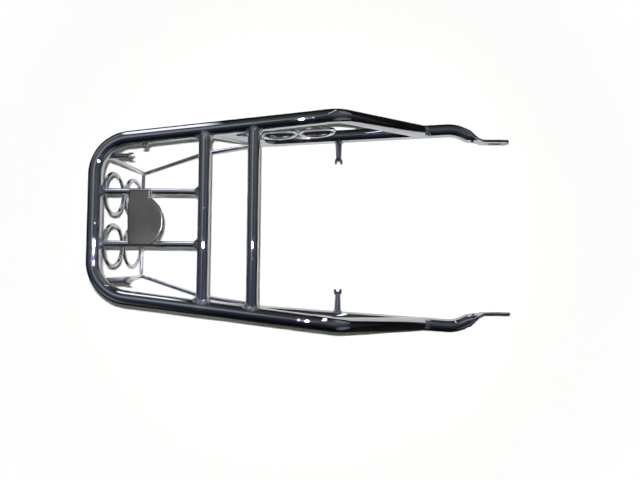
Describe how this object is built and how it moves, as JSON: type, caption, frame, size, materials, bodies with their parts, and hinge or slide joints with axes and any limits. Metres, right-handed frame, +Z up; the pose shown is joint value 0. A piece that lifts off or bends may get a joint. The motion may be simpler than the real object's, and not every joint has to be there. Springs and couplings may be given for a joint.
{
  "type": "motorcycle luggage rack",
  "caption": "Chromed welded-tube rear rack: a flat hoop with cross tubes on two side tubes with slotted ends, forked lugs, ring ornaments and a bare badge plate; carries strapped luggage.",
  "frame": {"origin": "on the floor under the middle of the rack's box, as it stands on its side tubes, tabs and tail rod", "axes": "+X to the front of the motorcycle, +Y to its left, +Z up"},
  "size_m": [0.5755, 0.3072, 0.139],
  "materials": {
    "tube_chrome": "bright chrome plate on bent steel tube",
    "rod_chrome": "bright chrome plate on steel rod",
    "wire_chrome": "bright chrome plate on steel wire",
    "badge_chrome": "bright chrome plate on pressed sheet"
  },
  "bodies": {
    "root": {"main_loop": "tube_chrome", "rear_cross_tube": "tube_chrome", "front_cross_tube": "tube_chrome", "deck_bar_left": "rod_chrome", "deck_bar_right": "rod_chrome", "badge_plate": "badge_chrome", "lower_tube_left": "tube_chrome", "lower_tube_right": "tube_chrome", "tail_ring_upper_left": "wire_chrome", "tail_ring_upper_right": "wire_chrome", "tail_ring_lower_left": "wire_chrome", "tail_ring_lower_right": "wire_chrome", "tail_rod": "rod_chrome", "brace_left": "rod_chrome", "brace_right": "rod_chrome", "side_ring_rear_left": "wire_chrome", "side_ring_rear_right": "wire_chrome", "side_ring_front_left": "wire_chrome", "side_ring_front_right": "wire_chrome", "front_lug_left": "rod_chrome", "front_lug_right": "rod_chrome", "rear_lug_left": "rod_chrome", "rear_lug_right": "rod_chrome", "strap_stud": "rod_chrome"}
  },
  "joints": []
}
